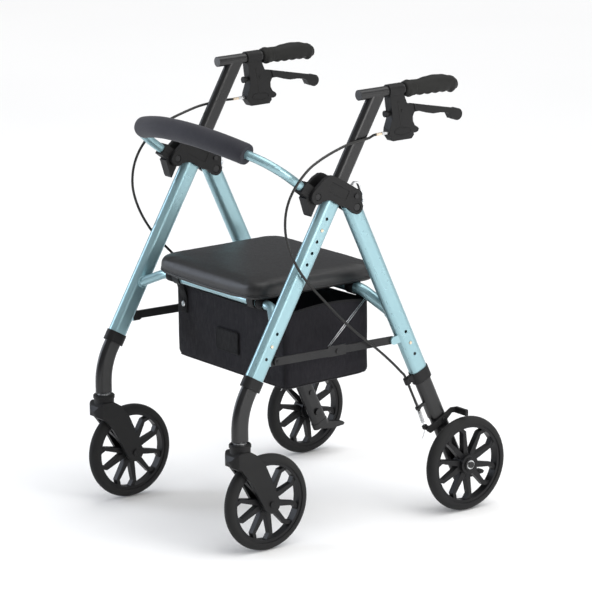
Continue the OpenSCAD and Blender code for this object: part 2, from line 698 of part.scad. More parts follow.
// ---- side struts, one link on each leg, overlapping at the knee ----
module strut_front() {
  color("#3a3a3c") {
    slab(side_x + 3.3, 5) difference() {
      union() {
        bar_2d(strut_front_pin, knee, strut_w);
        translate(knee - [24, 9.5]) square([45, 22]);
      }
      translate(strut_front_pin) circle(d = 6.4);
    }
    pin(side_x + 8.3, side_x + 10.8, knee, 10);
  }
}
module strut_front_left() strut_front();
module strut_front_right() mirror([1, 0, 0]) strut_front();
module strut_rear() {
  color("#3a3a3c") slab(side_x - 3, 5.8) difference() {
    bar_2d(knee, strut_rear_pin, strut_w - 1);
    translate(strut_rear_pin) circle(d = 6.4);
  }
}
module strut_rear_left() strut_rear();
module strut_rear_right() mirror([1, 0, 0]) strut_rear();

// ---- snap buttons, each pushed out through the wall of the outer tube ----
module button(inner_w) {
  color("#c8a060") translate([inner_w / 2 - 5, 0, 0]) rotate([0, 90, 0]) {
    cylinder(d = 6.4, h = leg_w / 2 - inner_w / 2 + 6.4);
    translate([0, 0, -2]) cylinder(d = 11, h = 2);
  }
}
module handle_button_left() front_at(handle_hole_t) button(stem_w);
module handle_button_right() mirror([1, 0, 0]) front_at(handle_hole_t) button(stem_w);
module front_leg_button_left() front_at(leg_hole_t) button(lower_w);
module front_leg_button_right() mirror([1, 0, 0]) front_at(leg_hole_t) button(lower_w);
module rear_leg_button_left() rear_at(rear_hole_s) button(lower_w);
module rear_leg_button_right() mirror([1, 0, 0]) rear_at(rear_hole_s) button(lower_w);

front_leg_left();
front_leg_right();
front_cross_tube();
hub_outer_left();
hub_outer_right();
hub_inner_left();
hub_inner_right();
hub_bolts();
hub_springs();
front_collars();
bag();
bag_straps();
backrest_tube();
backrest_foam();
backrest_sockets();
seat_cushion();
seat_board();
seat_clips();
rear_leg_left();
rear_leg_right();
rear_cross_tube();
rear_collars();
knee_wires();
handle_left();
handle_right();
grip_left();
grip_right();
brake_housing_left();
brake_housing_right();
brake_lever_left();
brake_lever_right();
brake_cable_left();
brake_cable_right();
front_lower_leg_left();
front_lower_leg_right();
caster_fork_left();
caster_fork_right();
front_tyre_left();
front_tyre_right();
front_rim_left();
front_rim_right();
rear_lower_leg_left();
rear_lower_leg_right();
rear_tyre_left();
rear_tyre_right();
rear_rim_left();
rear_rim_right();
brake_arm_left();
brake_arm_right();
strut_front_left();
strut_front_right();
strut_rear_left();
strut_rear_right();
handle_button_left();
handle_button_right();
front_leg_button_left();
front_leg_button_right();
rear_leg_button_left();
rear_leg_button_right();
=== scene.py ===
"""Looks of the folding rollator walker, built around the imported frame.

Everything is in metres in the frame's own axes: +Z up, the front towards -Y, the left side at +X.
"""

import json
import math

import bmesh
import bpy
from mathutils import Matrix, Vector, noise


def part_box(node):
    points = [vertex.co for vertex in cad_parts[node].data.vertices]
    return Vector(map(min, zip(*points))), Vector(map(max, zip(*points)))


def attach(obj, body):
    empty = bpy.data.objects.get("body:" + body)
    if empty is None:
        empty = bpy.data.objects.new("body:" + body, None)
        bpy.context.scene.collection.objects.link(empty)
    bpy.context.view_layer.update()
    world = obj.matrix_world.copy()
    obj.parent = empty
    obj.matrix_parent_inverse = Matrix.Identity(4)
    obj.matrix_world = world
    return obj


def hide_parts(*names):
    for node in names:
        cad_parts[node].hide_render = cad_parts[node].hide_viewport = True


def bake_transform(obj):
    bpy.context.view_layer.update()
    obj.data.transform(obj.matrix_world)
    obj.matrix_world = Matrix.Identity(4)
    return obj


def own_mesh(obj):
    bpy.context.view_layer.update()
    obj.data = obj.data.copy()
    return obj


MM = 0.001
SIDES = ((1, "left"), (-1, "right"))
SIDE_FRAME_X = 0.247
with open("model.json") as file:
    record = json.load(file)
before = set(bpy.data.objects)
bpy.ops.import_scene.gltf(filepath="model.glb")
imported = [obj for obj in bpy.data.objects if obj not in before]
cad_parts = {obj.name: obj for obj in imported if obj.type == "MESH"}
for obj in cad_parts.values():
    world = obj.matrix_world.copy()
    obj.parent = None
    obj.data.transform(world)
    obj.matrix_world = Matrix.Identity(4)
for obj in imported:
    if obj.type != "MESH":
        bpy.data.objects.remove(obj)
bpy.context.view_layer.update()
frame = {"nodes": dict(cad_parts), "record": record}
nodes = frame["nodes"]

# ---------------------------------------------------------------- camera
CAMERA_AZIMUTH = math.radians(53.555)
CAMERA_ELEVATION = math.radians(13.761)
CAMERA_ROLL = math.radians(-0.69)
CAMERA_DISTANCE = 8.294
CAMERA_TARGET = Vector((0, 0.0179, 0.446))
CAMERA_LENS = 239.0


def add_camera():
    away = Vector((math.sin(CAMERA_AZIMUTH) * math.cos(CAMERA_ELEVATION),
                   -math.cos(CAMERA_AZIMUTH) * math.cos(CAMERA_ELEVATION),
                   math.sin(CAMERA_ELEVATION)))
    right = Vector((0, 0, 1)).cross(away).normalized()
    up = away.cross(right)
    c, s = math.cos(CAMERA_ROLL), math.sin(CAMERA_ROLL)
    axes = Matrix((c * right + s * up, c * up - s * right, away)).transposed()
    data = bpy.data.cameras.new("camera")
    data.lens = CAMERA_LENS
    data.sensor_width = 36.0
    data.clip_end = 100.0
    cam = bpy.data.objects.new("camera", data)
    cam.matrix_world = Matrix.Translation(CAMERA_TARGET + CAMERA_DISTANCE * away) @ axes.to_4x4()
    bpy.context.scene.collection.objects.link(cam)
    bpy.context.scene.camera = cam


# ---------------------------------------------------------------- materials
class Shader:
    """A Principled material and short ways to wire textures into it."""

    def __init__(self, name, rough=0.5, metallic=0.0, **sockets):
        self.material = bpy.data.materials.new(name)
        self.material.use_nodes = True
        self.tree = self.material.node_tree
        self.out = self.tree.nodes["Principled BSDF"]
        self.out.inputs["Roughness"].default_value = rough
        self.out.inputs["Metallic"].default_value = metallic
        for key, value in sockets.items():
            self.out.inputs[key.replace("_", " ")].default_value = value
        self.coords = self.add("ShaderNodeTexCoord").outputs["Object"]

    def add(self, kind, **settings):
        node = self.tree.nodes.new(kind)
        for key, value in settings.items():
            setattr(node, key, value)
        return node

    def link(self, source, target):
        self.tree.links.new(source, target)

    def stretched(self, x, y, z):
        """Coordinates scaled by axis: a small number draws the texture out along that axis."""
        node = self.add("ShaderNodeMapping")
        node.inputs["Scale"].default_value = (x, y, z)
        self.link(self.coords, node.inputs["Vector"])
        return node.outputs["Vector"]

    def noise(self, scale, detail=3.0, vector=None, distortion=0.0):
        node = self.add("ShaderNodeTexNoise")
        node.inputs["Scale"].default_value = scale
        node.inputs["Detail"].default_value = detail
        node.inputs["Distortion"].default_value = distortion
        self.link(vector or self.coords, node.inputs["Vector"])
        return node.outputs["Fac"]

    def cells(self, scale, feature="F1"):
        node = self.add("ShaderNodeTexVoronoi", feature=feature)
        node.inputs["Scale"].default_value = scale
        self.link(self.coords, node.inputs["Vector"])
        return node.outputs["Distance"]

    def spread(self, value, low, high, from_low=0.3, from_high=0.7):
        """Maps the middle of a texture's range to low..high."""
        node = self.add("ShaderNodeMapRange")
        for key, number in (("From Min", from_low), ("From Max", from_high),
                            ("To Min", low), ("To Max", high)):
            node.inputs[key].default_value = number
        self.link(value, node.inputs["Value"])
        return node.outputs["Result"]

    def tones(self, value, *stops):
        """A colour ramp of (place, colour) stops."""
        node = self.add("ShaderNodeValToRGB")
        ramp = node.color_ramp
        while len(ramp.elements) < len(stops):
            ramp.elements.new(0.5)
        for element, (place, colour) in zip(ramp.elements, stops):
            element.position = place
            element.color = (*colour, 1.0)
        self.link(value, node.inputs["Fac"])
        return node.outputs["Color"]

    def math(self, operation, a, b=None):
        node = self.add("ShaderNodeMath", operation=operation)
        for socket, value in zip(node.inputs, (a, b)):
            if isinstance(value, (int, float)):
                socket.default_value = value
            elif value is not None:
                self.link(value, socket)
        return node.outputs["Value"]

    def colour(self, socket):
        self.link(socket, self.out.inputs["Base Color"])

    def roughness(self, socket):
        self.link(socket, self.out.inputs["Roughness"])

    def bump(self, height, distance, strength=1.0, soften=0.0):
        """Relief in metres; soften is the radius that rounds the mesh's own edges."""
        node = self.add("ShaderNodeBump")
        node.inputs["Strength"].default_value = strength
        node.inputs["Distance"].default_value = distance
        self.link(height, node.inputs["Height"])
        if soften:
            bevel = self.add("ShaderNodeBevel", samples=4)
            bevel.inputs["Radius"].default_value = soften
            self.link(bevel.outputs["Normal"], node.inputs["Normal"])
        self.link(node.outputs["Normal"], self.out.inputs["Normal"])


def anodised():
    s = Shader("anodised_teal", metallic=0.6, Coat_Weight=0.4, Coat_Roughness=0.22)
    fine = s.noise(900, 2, s.stretched(1, 0.06, 0.06))
    cloudy = s.noise(7, 3)
    s.colour(s.tones(cloudy, (0.3, (0.285, 0.465, 0.515)), (0.7, (0.315, 0.495, 0.540))))
    s.roughness(s.spread(s.math("ADD", s.math("MULTIPLY", fine, 0.5), s.math("MULTIPLY", cloudy, 0.5)),
                         0.25, 0.36))
    s.bump(fine, 0.000008, 0.3)
    return s.material


def black_tube():
    s = Shader("black_powder_coat", Coat_Weight=0.2, Coat_Roughness=0.2, Specular_IOR_Level=0.4)
    speck = s.noise(1400, 2)
    cloudy = s.noise(9, 3)
    s.colour(s.tones(cloudy, (0.3, (0.005, 0.005, 0.0055)), (0.7, (0.008, 0.008, 0.009))))
    s.roughness(s.spread(cloudy, 0.26, 0.36))
    s.bump(speck, 0.00004, 0.6, soften=0.0006)
    return s.material


def moulding():
    s = Shader("moulded_nylon", Specular_IOR_Level=0.22)
    grain = s.cells(1500)
    cloudy = s.noise(14, 4)
    s.colour(s.tones(cloudy, (0.3, (0.008, 0.008, 0.0085)), (0.7, (0.013, 0.013, 0.0135))))
    s.roughness(s.spread(cloudy, 0.42, 0.56))
    s.bump(grain, 0.00006, 0.5, soften=0.0012)
    return s.material


def rim_nylon():
    s = Shader("rim_nylon", Specular_IOR_Level=0.25)
    cloudy = s.noise(18, 4)
    s.colour(s.tones(cloudy, (0.3, (0.006, 0.006, 0.007)), (0.7, (0.010, 0.010, 0.011))))
    s.roughness(s.spread(cloudy, 0.36, 0.5))
    s.bump(s.noise(1200, 2), 0.00005, 0.4, soften=0.0009)
    return s.material


def tyre_rubber():
    s = Shader("tyre", Specular_IOR_Level=0.25, Sheen_Weight=0.04, Sheen_Roughness=0.5)
    dust = s.noise(28, 6, distortion=0.4)
    s.colour(s.tones(dust, (0.35, (0.009, 0.009, 0.010)), (0.8, (0.018, 0.018, 0.017))))
    s.roughness(s.spread(dust, 0.62, 0.82))
    s.bump(s.noise(700, 4), 0.00012, 0.5)
    return s.material


def grip_rubber():
    s = Shader("grip_rubber", Specular_IOR_Level=0.25, Sheen_Weight=0.03, Sheen_Roughness=0.4)
    pores = s.cells(1100, "SMOOTH_F1")
    cloudy = s.noise(25, 4)
    s.colour(s.tones(cloudy, (0.3, (0.009, 0.009, 0.0085)), (0.7, (0.014, 0.014, 0.013))))
    s.roughness(s.spread(cloudy, 0.55, 0.72))
    s.bump(pores, 0.00012, 0.6)
    return s.material


def foam():
    s = Shader("backrest_foam", Specular_IOR_Level=0.35, Sheen_Weight=0.1, Sheen_Roughness=0.4)
    pores = s.cells(650)
    cloudy = s.noise(16, 5)
    s.colour(s.tones(cloudy, (0.3, (0.021, 0.021, 0.028)), (0.7, (0.031, 0.031, 0.039))))
    s.roughness(s.spread(pores, 0.6, 0.8, 0.1, 0.6))
    height = s.math("ADD", s.math("MULTIPLY", pores, 0.7), s.noise(160, 4))
    s.bump(height, 0.00025, 0.7)
    return s.material


def vinyl():
    s = Shader("seat_vinyl", Specular_IOR_Level=0.4, Coat_Weight=0.05, Coat_Roughness=0.35)
    pebbles = s.cells(520, "SMOOTH_F1")
    creases = s.noise(75, 6, distortion=0.6)
    cloudy = s.noise(6, 4)
    s.colour(s.tones(cloudy, (0.3, (0.010, 0.010, 0.011)), (0.7, (0.015, 0.015, 0.0155))))
    s.roughness(s.spread(s.math("ADD", s.math("MULTIPLY", pebbles, 0.6), s.math("MULTIPLY", creases, 0.4)),
                         0.36, 0.52, 0.2, 0.7))
    s.bump(s.math("ADD", pebbles, s.math("MULTIPLY", creases, 0.35)), 0.00022, 0.65)
    return s.material


def woven(name, dark, light, pitch, depth):
    """Plain weave: warp and weft threads a pitch apart, over and under."""
    s = Shader(name, Specular_IOR_Level=0.2, Sheen_Weight=0.04, Sheen_Roughness=0.5)
    axes = s.add("ShaderNodeSeparateXYZ")
    s.link(s.coords, axes.inputs["Vector"])
    turns = 2 * math.pi / pitch
    across = s.math("MULTIPLY", s.math("ADD", axes.outputs["X"], axes.outputs["Y"]), turns)
    along = s.math("MULTIPLY", axes.outputs["Z"], turns)
    over = s.math("MULTIPLY", s.math("SINE", across), s.math("SINE", along))
    slubs = s.noise(260, 4, s.stretched(1, 1, 0.25))
    cloudy = s.noise(12, 5)
    shade = s.math("ADD", s.math("MULTIPLY", over, 0.18), cloudy)
    s.colour(s.tones(shade, (0.3, dark), (0.75, light)))
    s.roughness(s.spread(slubs, 0.68, 0.88))
    s.bump(s.math("ADD", over, slubs), depth, 0.8)
    return s.material


def bare_metal(name, low, high, rough_low, rough_high):
    s = Shader(name, metallic=1.0)
    scratch = s.noise(600, 4, s.stretched(1, 1, 0.2))
    s.colour(s.tones(scratch, (0.3, low), (0.7, high)))
    s.roughness(s.spread(scratch, rough_low, rough_high))
    s.bump(scratch, 0.00002, 0.6, soften=0.0003)
    return s.material


def dark_steel():
    s = Shader("dark_strut_steel", metallic=0.3, Specular_IOR_Level=0.35)
    cloudy = s.noise(30, 4)
    s.colour(s.tones(cloudy, (0.3, (0.016, 0.016, 0.017)), (0.7, (0.026, 0.026, 0.027))))
    s.roughness(s.spread(cloudy, 0.38, 0.5))
    s.bump(s.noise(900, 3), 0.00004, 0.5, soften=0.0006)
    return s.material


def cable_jacket():
    s = Shader("cable_jacket", Coat_Weight=0.15, Coat_Roughness=0.3, Specular_IOR_Level=0.3)
    cloudy = s.noise(40, 3)
    s.colour(s.tones(cloudy, (0.3, (0.008, 0.008, 0.008)), (0.7, (0.014, 0.0135, 0.012))))
    s.roughness(s.spread(cloudy, 0.34, 0.46))
    s.bump(s.noise(500, 2), 0.00004, 0.4)
    return s.material


MATERIALS = {
    "anodised": anodised(),
    "black_tube": black_tube(),
    "moulding": moulding(),
    "rim": rim_nylon(),
    "tyre": tyre_rubber(),
    "rubber_grip": grip_rubber(),
    "foam": foam(),
    "vinyl": vinyl(),
    "bag_fabric": woven("bag_nylon", (0.007, 0.0065, 0.009), (0.013, 0.012, 0.016), 0.0016, 0.00012),
    "webbing": woven("webbing", (0.005, 0.005, 0.006), (0.010, 0.010, 0.011), 0.0022, 0.0002),
    "cable": cable_jacket(),
    "dark_steel": dark_steel(),
    "bright_steel": bare_metal("bright_steel", (0.55, 0.56, 0.57), (0.72, 0.73, 0.74), 0.22, 0.4),
    "brass": bare_metal("brass", (0.68, 0.56, 0.42), (0.80, 0.68, 0.54), 0.2, 0.34),
}


def dress_frame():
    """Gives each CAD node its material slot's finish."""
    for row in frame["record"]["subparts"]:
        mesh = nodes[row["node"]].data
        mesh.materials.clear()
        mesh.materials.append(MATERIALS[row["material_slot"]])


def repaint(node, slot, inside):
    """Gives another finish to the faces of a CAD node whose centres pass a test."""
    mesh = nodes[node].data
    mesh.materials.append(MATERIALS[slot])
    for face in mesh.polygons:
        if inside(face.center):
            face.material_index = len(mesh.materials) - 1


# ---------------------------------------------------------------- mesh helpers
def make(name, verts, faces, slot, body=None):
    """A smooth mesh piece with one finish, riding on a body if one is given."""
    mesh = bpy.data.meshes.new(name)
    mesh.from_pydata([tuple(v) for v in verts], [], faces)
    mesh.materials.append(MATERIALS[slot])
    piece = bpy.data.objects.new(name, mesh)
    bpy.context.scene.collection.objects.link(piece)
    turn_faces_outward(piece)
    if body:
        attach(piece, body)
    return piece


def turn_faces_outward(piece):
    work = bmesh.new()
    work.from_mesh(piece.data)
    bmesh.ops.recalc_face_normals(work, faces=work.faces)
    for face in work.faces:
        face.smooth = True
    work.to_mesh(piece.data)
    work.free()


def loft(rings, closed_path=False):
    """Vertices and faces of a skin over rings that all have the same number of points.

    The ends are capped, unless the path closes on itself."""
    count = len(rings[0])
    verts = [v for ring in rings for v in ring]
    faces = []
    spans = len(rings) if closed_path else len(rings) - 1
    for i in range(spans):
        a, b = i * count, (i + 1) % len(rings) * count
        for k in range(count):
            j = (k + 1) % count
            faces.append((a + k, b + k, b + j, a + j))
    if not closed_path:
        faces.append(tuple(range(count))[::-1])
        faces.append(tuple((len(rings) - 1) * count + k for k in range(count)))
    return verts, faces


def smooth_path(points, per=6):
    """A curve through all the points."""
    points = [Vector(p) for p in points]
    out = []
    for i in range(len(points) - 1):
        a, b = points[max(i - 1, 0)], points[i]
        c, d = points[i + 1], points[min(i + 2, len(points) - 1)]
        for k in range(per):
            f = k / per
            out.append(0.5 * (2 * b + (c - a) * f + (2 * a - 5 * b + 4 * c - d) * f ** 2
                              + (3 * b - a - 3 * c + d) * f ** 3))
    return out + [points[-1]]


def joined(parts):
    """One mesh's vertices and faces from several meshes'."""
    verts, faces = [], []
    for part_verts, part_faces in parts:
        faces += [tuple(i + len(verts) for i in face) for face in part_faces]
        verts += part_verts
    return verts, faces


def sweep(path, radius, sides=12):
    """Round rings along a path. radius is a number or a function of 0 to 1."""
    rings = []
    side = None
    for i, p in enumerate(path):
        along = (path[min(i + 1, len(path) - 1)] - path[max(i - 1, 0)]).normalized()
        if side is None:
            side = along.cross(Vector((0.13, 0.31, 0.94))).normalized()
        side = (side - side.dot(along) * along).normalized()
        other = along.cross(side)
        r = radius(i / (len(path) - 1)) if callable(radius) else radius
        rings.append([p + r * (math.cos(a) * side + math.sin(a) * other)
                      for a in (2 * math.pi * k / sides for k in range(sides))])
    return rings


def hoop(path, radius, sides):
    """Vertices and faces of a cord whose path closes on itself."""
    return loft(sweep(path + path[:1], radius, sides)[:-1], closed_path=True)


def rounded_outline(half_x, half_y, radius, per_corner=8, per_side=6):
    """Points round a rectangle with rounded corners, from the +X side on, counter-clockwise."""
    corners = ((1, 1, 0), (-1, 1, 90), (-1, -1, 180), (1, -1, 270))
    arcs = []
    for sx, sy, start in corners:
        cx, cy = sx * (half_x - radius), sy * (half_y - radius)
        arcs.append([(cx + radius * math.cos(math.radians(start + 90 * k / per_corner)),
                      cy + radius * math.sin(math.radians(start + 90 * k / per_corner)))
                     for k in range(per_corner + 1)])
    out = []
    for i, arc in enumerate(arcs):
        out += arc
        (ax, ay), (bx, by) = arc[-1], arcs[(i + 1) % 4][0]
        out += [(ax + (bx - ax) * k / per_side, ay + (by - ay) * k / per_side)
                for k in range(1, per_side)]
    return out


def apply_modifiers(piece):
    """Puts the result of the piece's modifiers in the place of its mesh."""
    graph = bpy.context.evaluated_depsgraph_get()
    done = bpy.data.meshes.new_from_object(piece.evaluated_get(graph))
    old = piece.data
    piece.modifiers.clear()
    piece.data = done
    bpy.data.meshes.remove(old)


def inflate(piece, voxel, pressure, cap, pinned):
    """Blows a closed piece up as sewn fabric over foam, and keeps the result.

    pinned(co) says which points stay put, and cap is how far any other may move."""
    remesh = piece.modifiers.new("remesh", "REMESH")
    remesh.mode = "VOXEL"
    remesh.voxel_size = voxel
    apply_modifiers(piece)
    start = [v.co.copy() for v in piece.data.vertices]
    group = piece.vertex_groups.new(name="pins")
    group.add([v.index for v in piece.data.vertices if pinned(v.co)], 1.0, "REPLACE")
    cloth = piece.modifiers.new("cloth", "CLOTH")
    cloth.settings.use_pressure = True
    cloth.settings.uniform_pressure_force = pressure
    cloth.settings.tension_stiffness = 25
    cloth.settings.compression_stiffness = 25
    cloth.settings.bending_stiffness = 2.0
    cloth.settings.quality = 6
    cloth.settings.vertex_group_mass = "pins"
    cloth.settings.effector_weights.gravity = 0.0
    for number in range(1, 16):
        bpy.context.scene.frame_set(number)
    graph = bpy.context.evaluated_depsgraph_get()
    blown = [v.co.copy() for v in piece.evaluated_get(graph).data.vertices]
    piece.modifiers.clear()
    piece.vertex_groups.clear()
    for vertex, was, now in zip(piece.data.vertices, start, blown):
        move = now - was
        if move.length > cap:
            move *= cap / move.length
        vertex.co = was + move
    bpy.context.scene.frame_set(1)
    relax = piece.modifiers.new("relax", "SMOOTH")
    relax.iterations = 6
    relax.factor = 0.5
    finer = piece.modifiers.new("finer", "SUBSURF")
    finer.levels = 1
    finer.render_levels = 1
    apply_modifiers(piece)
    for face in piece.data.polygons:
        face.use_smooth = True


def stitches(name, path, step, length, radius, outward, body):
    """A row of short thread loops along a path, lying on the surface."""
    threads = []
    travelled, due = 0.0, step / 2
    for a, b in zip(path, path[1:]):
        leg = (b - a).length
        while travelled + leg > due:
            middle = a.lerp(b, (due - travelled) / leg)
            along = (b - a).normalized()
            out = outward(middle)
            ends = [middle + t * length / 2 * along + radius * (1 - t * t) * 0.9 * out
                    for t in (-1, -0.5, 0, 0.5, 1)]
            threads.append(loft(sweep(ends, lambda t: radius * (0.55 + 0.45 * math.sin(math.pi * t)), 6)))
            due += step
        travelled += leg
    return make(name, *joined(threads), "webbing", body)


# ---------------------------------------------------------------- seat
def seat():
    low, high = (Vector(corner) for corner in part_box("seat_cushion"))
    middle = (low + high) / 2
    half_x, half_y = (high.x - low.x) / 2, (high.y - low.y) / 2
    rise = high.z - low.z
    corner = 0.036
    skirt_drop = 0.0065

    # rings as (inset, height above the cushion's foot): the skirt wraps the board's edge
    profile = [(0.026, 0.0010), (0.011, -0.0022), (0.005, -0.0034), (0.002, -0.0010), (0.0010, 0.0050),
               (0.0008, 0.0140), (0.0014, 0.0210), (0.0038, 0.0268), (0.0085, 0.0310), (0.0160, 0.0338)]

    def front_hang(x, y):
        """The skirt's front edge hangs lower in the middle."""
        return max(0.0, 1 - (x / half_x) ** 2) * max(0.0, min(1.0, (-y / half_y - 0.8) / 0.15))

    rings = []
    for inset, height in profile:
        outline = rounded_outline(half_x - inset, half_y - inset, corner - 0.35 * inset, 10, 14)
        foot_share = max(0.0, 1 - max(height, 0) / 0.006) * (inset < 0.02)
        rings.append([Vector((middle.x + x, middle.y + y,
                              low.z + height - skirt_drop * foot_share * front_hang(x, y)))
                      for x, y in outline])
    edge_z = low.z + profile[-1][1]
    crown = rise - profile[-1][1] - 0.0012
    for k in range(1, 9):
        share = k / 9
        rings.append([Vector((middle.x + (p.x - middle.x) * (1 - share),
                              middle.y + (p.y - middle.y) * (1 - share),
                              edge_z + crown * (1 - (1 - share) ** 2.2)))
                      for p in rings[len(profile) - 1]])
    pad = make("seat_pad", *loft(rings), "vinyl")
    inflate(pad, 0.004, 1.6, 0.0016, lambda co: co.z < low.z + 0.006)
    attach(pad, "seat")
    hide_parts("seat_cushion")

    # a thin piping and a row of stitches just above the skirt's foot
    outline = rounded_outline(half_x - 0.0012, half_y - 0.0012, 0.035, 10, 14)
    foot = [Vector((middle.x + x, middle.y + y, low.z + 0.0035 - 0.0045 * front_hang(x, y)))
            for x, y in outline]
    make("seat_piping", *hoop(foot, 0.0015, 8), "vinyl", "seat")
    line = [p + Vector((0, 0, 0.0045)) for p in foot]

    def outward(p):
        return Vector((p.x - middle.x, p.y - middle.y, 0)).normalized()

    stitches("seat_stitches", line + line[:1], 0.005, 0.0034, 0.00045, outward, "seat")


# ---------------------------------------------------------------- backrest
BACK_TILT = math.radians(37.8)
BACK_PIVOT = Vector((0, -0.121, 0.724))
BOW_RADIUS = 0.478
BOW_REACH = 0.182


def back_point(x, reach, lift):
    """A point in the backrest's own plane: across, along its reach, and above the plane."""
    along = Vector((0, -math.cos(BACK_TILT), math.sin(BACK_TILT)))
    above = Vector((0, math.sin(BACK_TILT), math.cos(BACK_TILT)))
    return BACK_PIVOT + Vector((x, 0, 0)) + reach * along + lift * above


def backrest():
    radius, half_length = 0.0226, 0.183
    half_angle = math.asin(half_length / BOW_RADIUS)
    centre_reach = BOW_REACH - BOW_RADIUS
    steps, sides = 72, 40
    rings = []
    for i in range(steps + 1):
        angle = half_angle * (2 * (i / steps) - 1)
        out_x, out_r = math.sin(angle), math.cos(angle)
        # the sleeve is cut off square, with only its skin turned in
        r = radius - (0.0012 if i in (0, steps) else 0.0)
        ring = []
        for k in range(sides):
            a = 2 * math.pi * k / sides
            wobble = noise.noise(Vector((angle * 14, math.cos(a) * 1.3, math.sin(a) * 1.3)))
            rr = r * (1 + 0.012 * wobble)
            ring.append(back_point((BOW_RADIUS + rr * math.cos(a)) * out_x,
                                   centre_reach + (BOW_RADIUS + rr * math.cos(a)) * out_r,
                                   rr * math.sin(a)))
        rings.append(ring)
    inner = []
    for ring_index in (0, steps):
        centre = sum(rings[ring_index], Vector()) / sides
        inner.append([centre + (p - centre) * 0.5 for p in rings[ring_index]])
    sleeve = make("backrest_sleeve", *loft([inner[0]] + rings + [inner[1]]), "foam", "backrest")
    sleeve.data.set_sharp_from_angle(angle=math.radians(50))
    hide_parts("backrest_foam")


def slump(piece):
    """Gives the bag's piece a mesh of its own."""
    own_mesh(piece)


def bag():
    low, high = (Vector(corner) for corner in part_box("bag"))
    middle = (low + high) / 2
    half_x, half_y = (high.x - low.x) / 2, (high.y - low.y) / 2
    height = high.z - low.z + 0.003
    floor_round, corner, inset_of_walls = 0.016, 0.014, 0.0015

    def outline(inset):
        return rounded_outline(half_x - inset, half_y - inset, corner, 7, 16)

    rings = []
    for inset in (0.150, 0.09, 0.04):
        share = (half_x - inset) / half_x
        rings.append([Vector((x * share, y * share, 0.0012)) for x, y in outline(0.012)])
    for k in range(6):
        a = math.pi / 2 * k / 5
        inset = floor_round * (1 - math.sin(a)) + inset_of_walls
        rings.append([Vector((x, y, floor_round * (1 - math.cos(a)))) for x, y in outline(inset)])
    levels = 22
    for k in range(1, levels + 1):
        rings.append([Vector((x, y, floor_round + (height - floor_round) * k / levels))
                      for x, y in outline(inset_of_walls)])
    for ring in rings:
        for p in ring:
            up = max(p.z, 0) / height
            # the front rim hangs a little between the straps, the side rims stand up,
            # and the panels belly out
            side = max(0.0, 1 - (p.y / (half_y * 0.92)) ** 2) * (abs(p.x) > half_x * 0.9)
            front = max(0.0, 1 - (p.x / (half_x * 0.92)) ** 2) * (abs(p.y) > half_y * 0.9)
            p.z += (0.010 * side - 0.003 * front) * up ** 2
            belly = math.sin(math.pi * min(up, 1)) * 0.0022
            if abs(p.x) > half_x * 0.9:
                p.x += math.copysign(belly * side - 0.004 * side * up ** 3, p.x)
            if abs(p.y) > half_y * 0.9:
                p.y += math.copysign(belly * front - 0.002 * front * up ** 3, p.y)
            ripple = noise.noise(Vector((p.x * 16, p.y * 16, p.z * 9))) * 0.0016
            crease = noise.noise(Vector((p.x * 45, p.y * 45, p.z * 14 + 5))) * 0.0005
            out = Vector((p.x / half_x ** 2, p.y / half_y ** 2, 0))
            if out.length > 0 and p.z > floor_round * 0.5:
                p += out.normalized() * (ripple + crease) * min(1, p.z / 0.04)
            p.z += 0.005 * (p.y / half_y + 1) / 2 * (1 - min(up, 1))
            p += Vector((middle.x, middle.y, low.z))
    verts, faces = loft(rings)
    faces.pop()  # the bag is open at the top
    shell = make("bag_shell", verts, faces, "bag_fabric")
    wall = shell.modifiers.new("wall", "SOLIDIFY")
    wall.thickness = 0.0022
    wall.offset = -1
    finer = shell.modifiers.new("finer", "SUBSURF")
    finer.levels = finer.render_levels = 1
    apply_modifiers(shell)
    for face in shell.data.polygons:
        face.use_smooth = True
    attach(shell, "frame")
    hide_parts("bag")
    slump(shell)
    hem_line = [p + 0.0011 * Vector((middle.x - p.x, middle.y - p.y, 0)).normalized() for p in rings[-1]]
    slump(make("bag_hem", *hoop(hem_line, 0.0024, 10), "webbing", "frame"))
    walls = rings[6:]
    slump(make("bag_piping", *hoop(walls[0], 0.0013, 8), "webbing", "frame"))
    # seams down the four corners
    columns = [quarter * (len(walls[0]) // 4) + 3 for quarter in range(4)]
    seams = [loft(sweep([ring[column] for ring in walls], 0.0009, 6)) for column in columns]
    slump(make("bag_seams", *joined(seams), "webbing", "frame"))
    patch(middle.y - half_y)


def patch(front_y):
    """A blank sewn patch on the front panel, with a plain stitched border."""
    x0, x1, z0, z1 = -0.042, 0.037, 0.353, 0.401
    y = front_y - 0.0022
    cx, cz = (x0 + x1) / 2, (z0 + z1) / 2
    outline = rounded_outline((x1 - x0) / 2, (z1 - z0) / 2, 0.004, 4, 6)
    rings = []
    for inset, out in ((0.0, 0.0), (0.0, 0.0012), (0.0008, 0.0017), (0.003, 0.0018)):
        share_x = 1 - inset / ((x1 - x0) / 2)
        share_z = 1 - inset / ((z1 - z0) / 2)
        rings.append([Vector((cx + a * share_x, y - out, cz + b * share_z)) for a, b in outline])
    slump(make("bag_patch", *loft(rings), "webbing", "frame"))
    border = [Vector((cx + a * 0.93, y - 0.0019, cz + b * 0.89)) for a, b in outline]
    slump(stitches("bag_patch_stitches", border + border[:1], 0.0038, 0.0026, 0.0004,
                   lambda p: Vector((0, -1, 0)), "frame"))


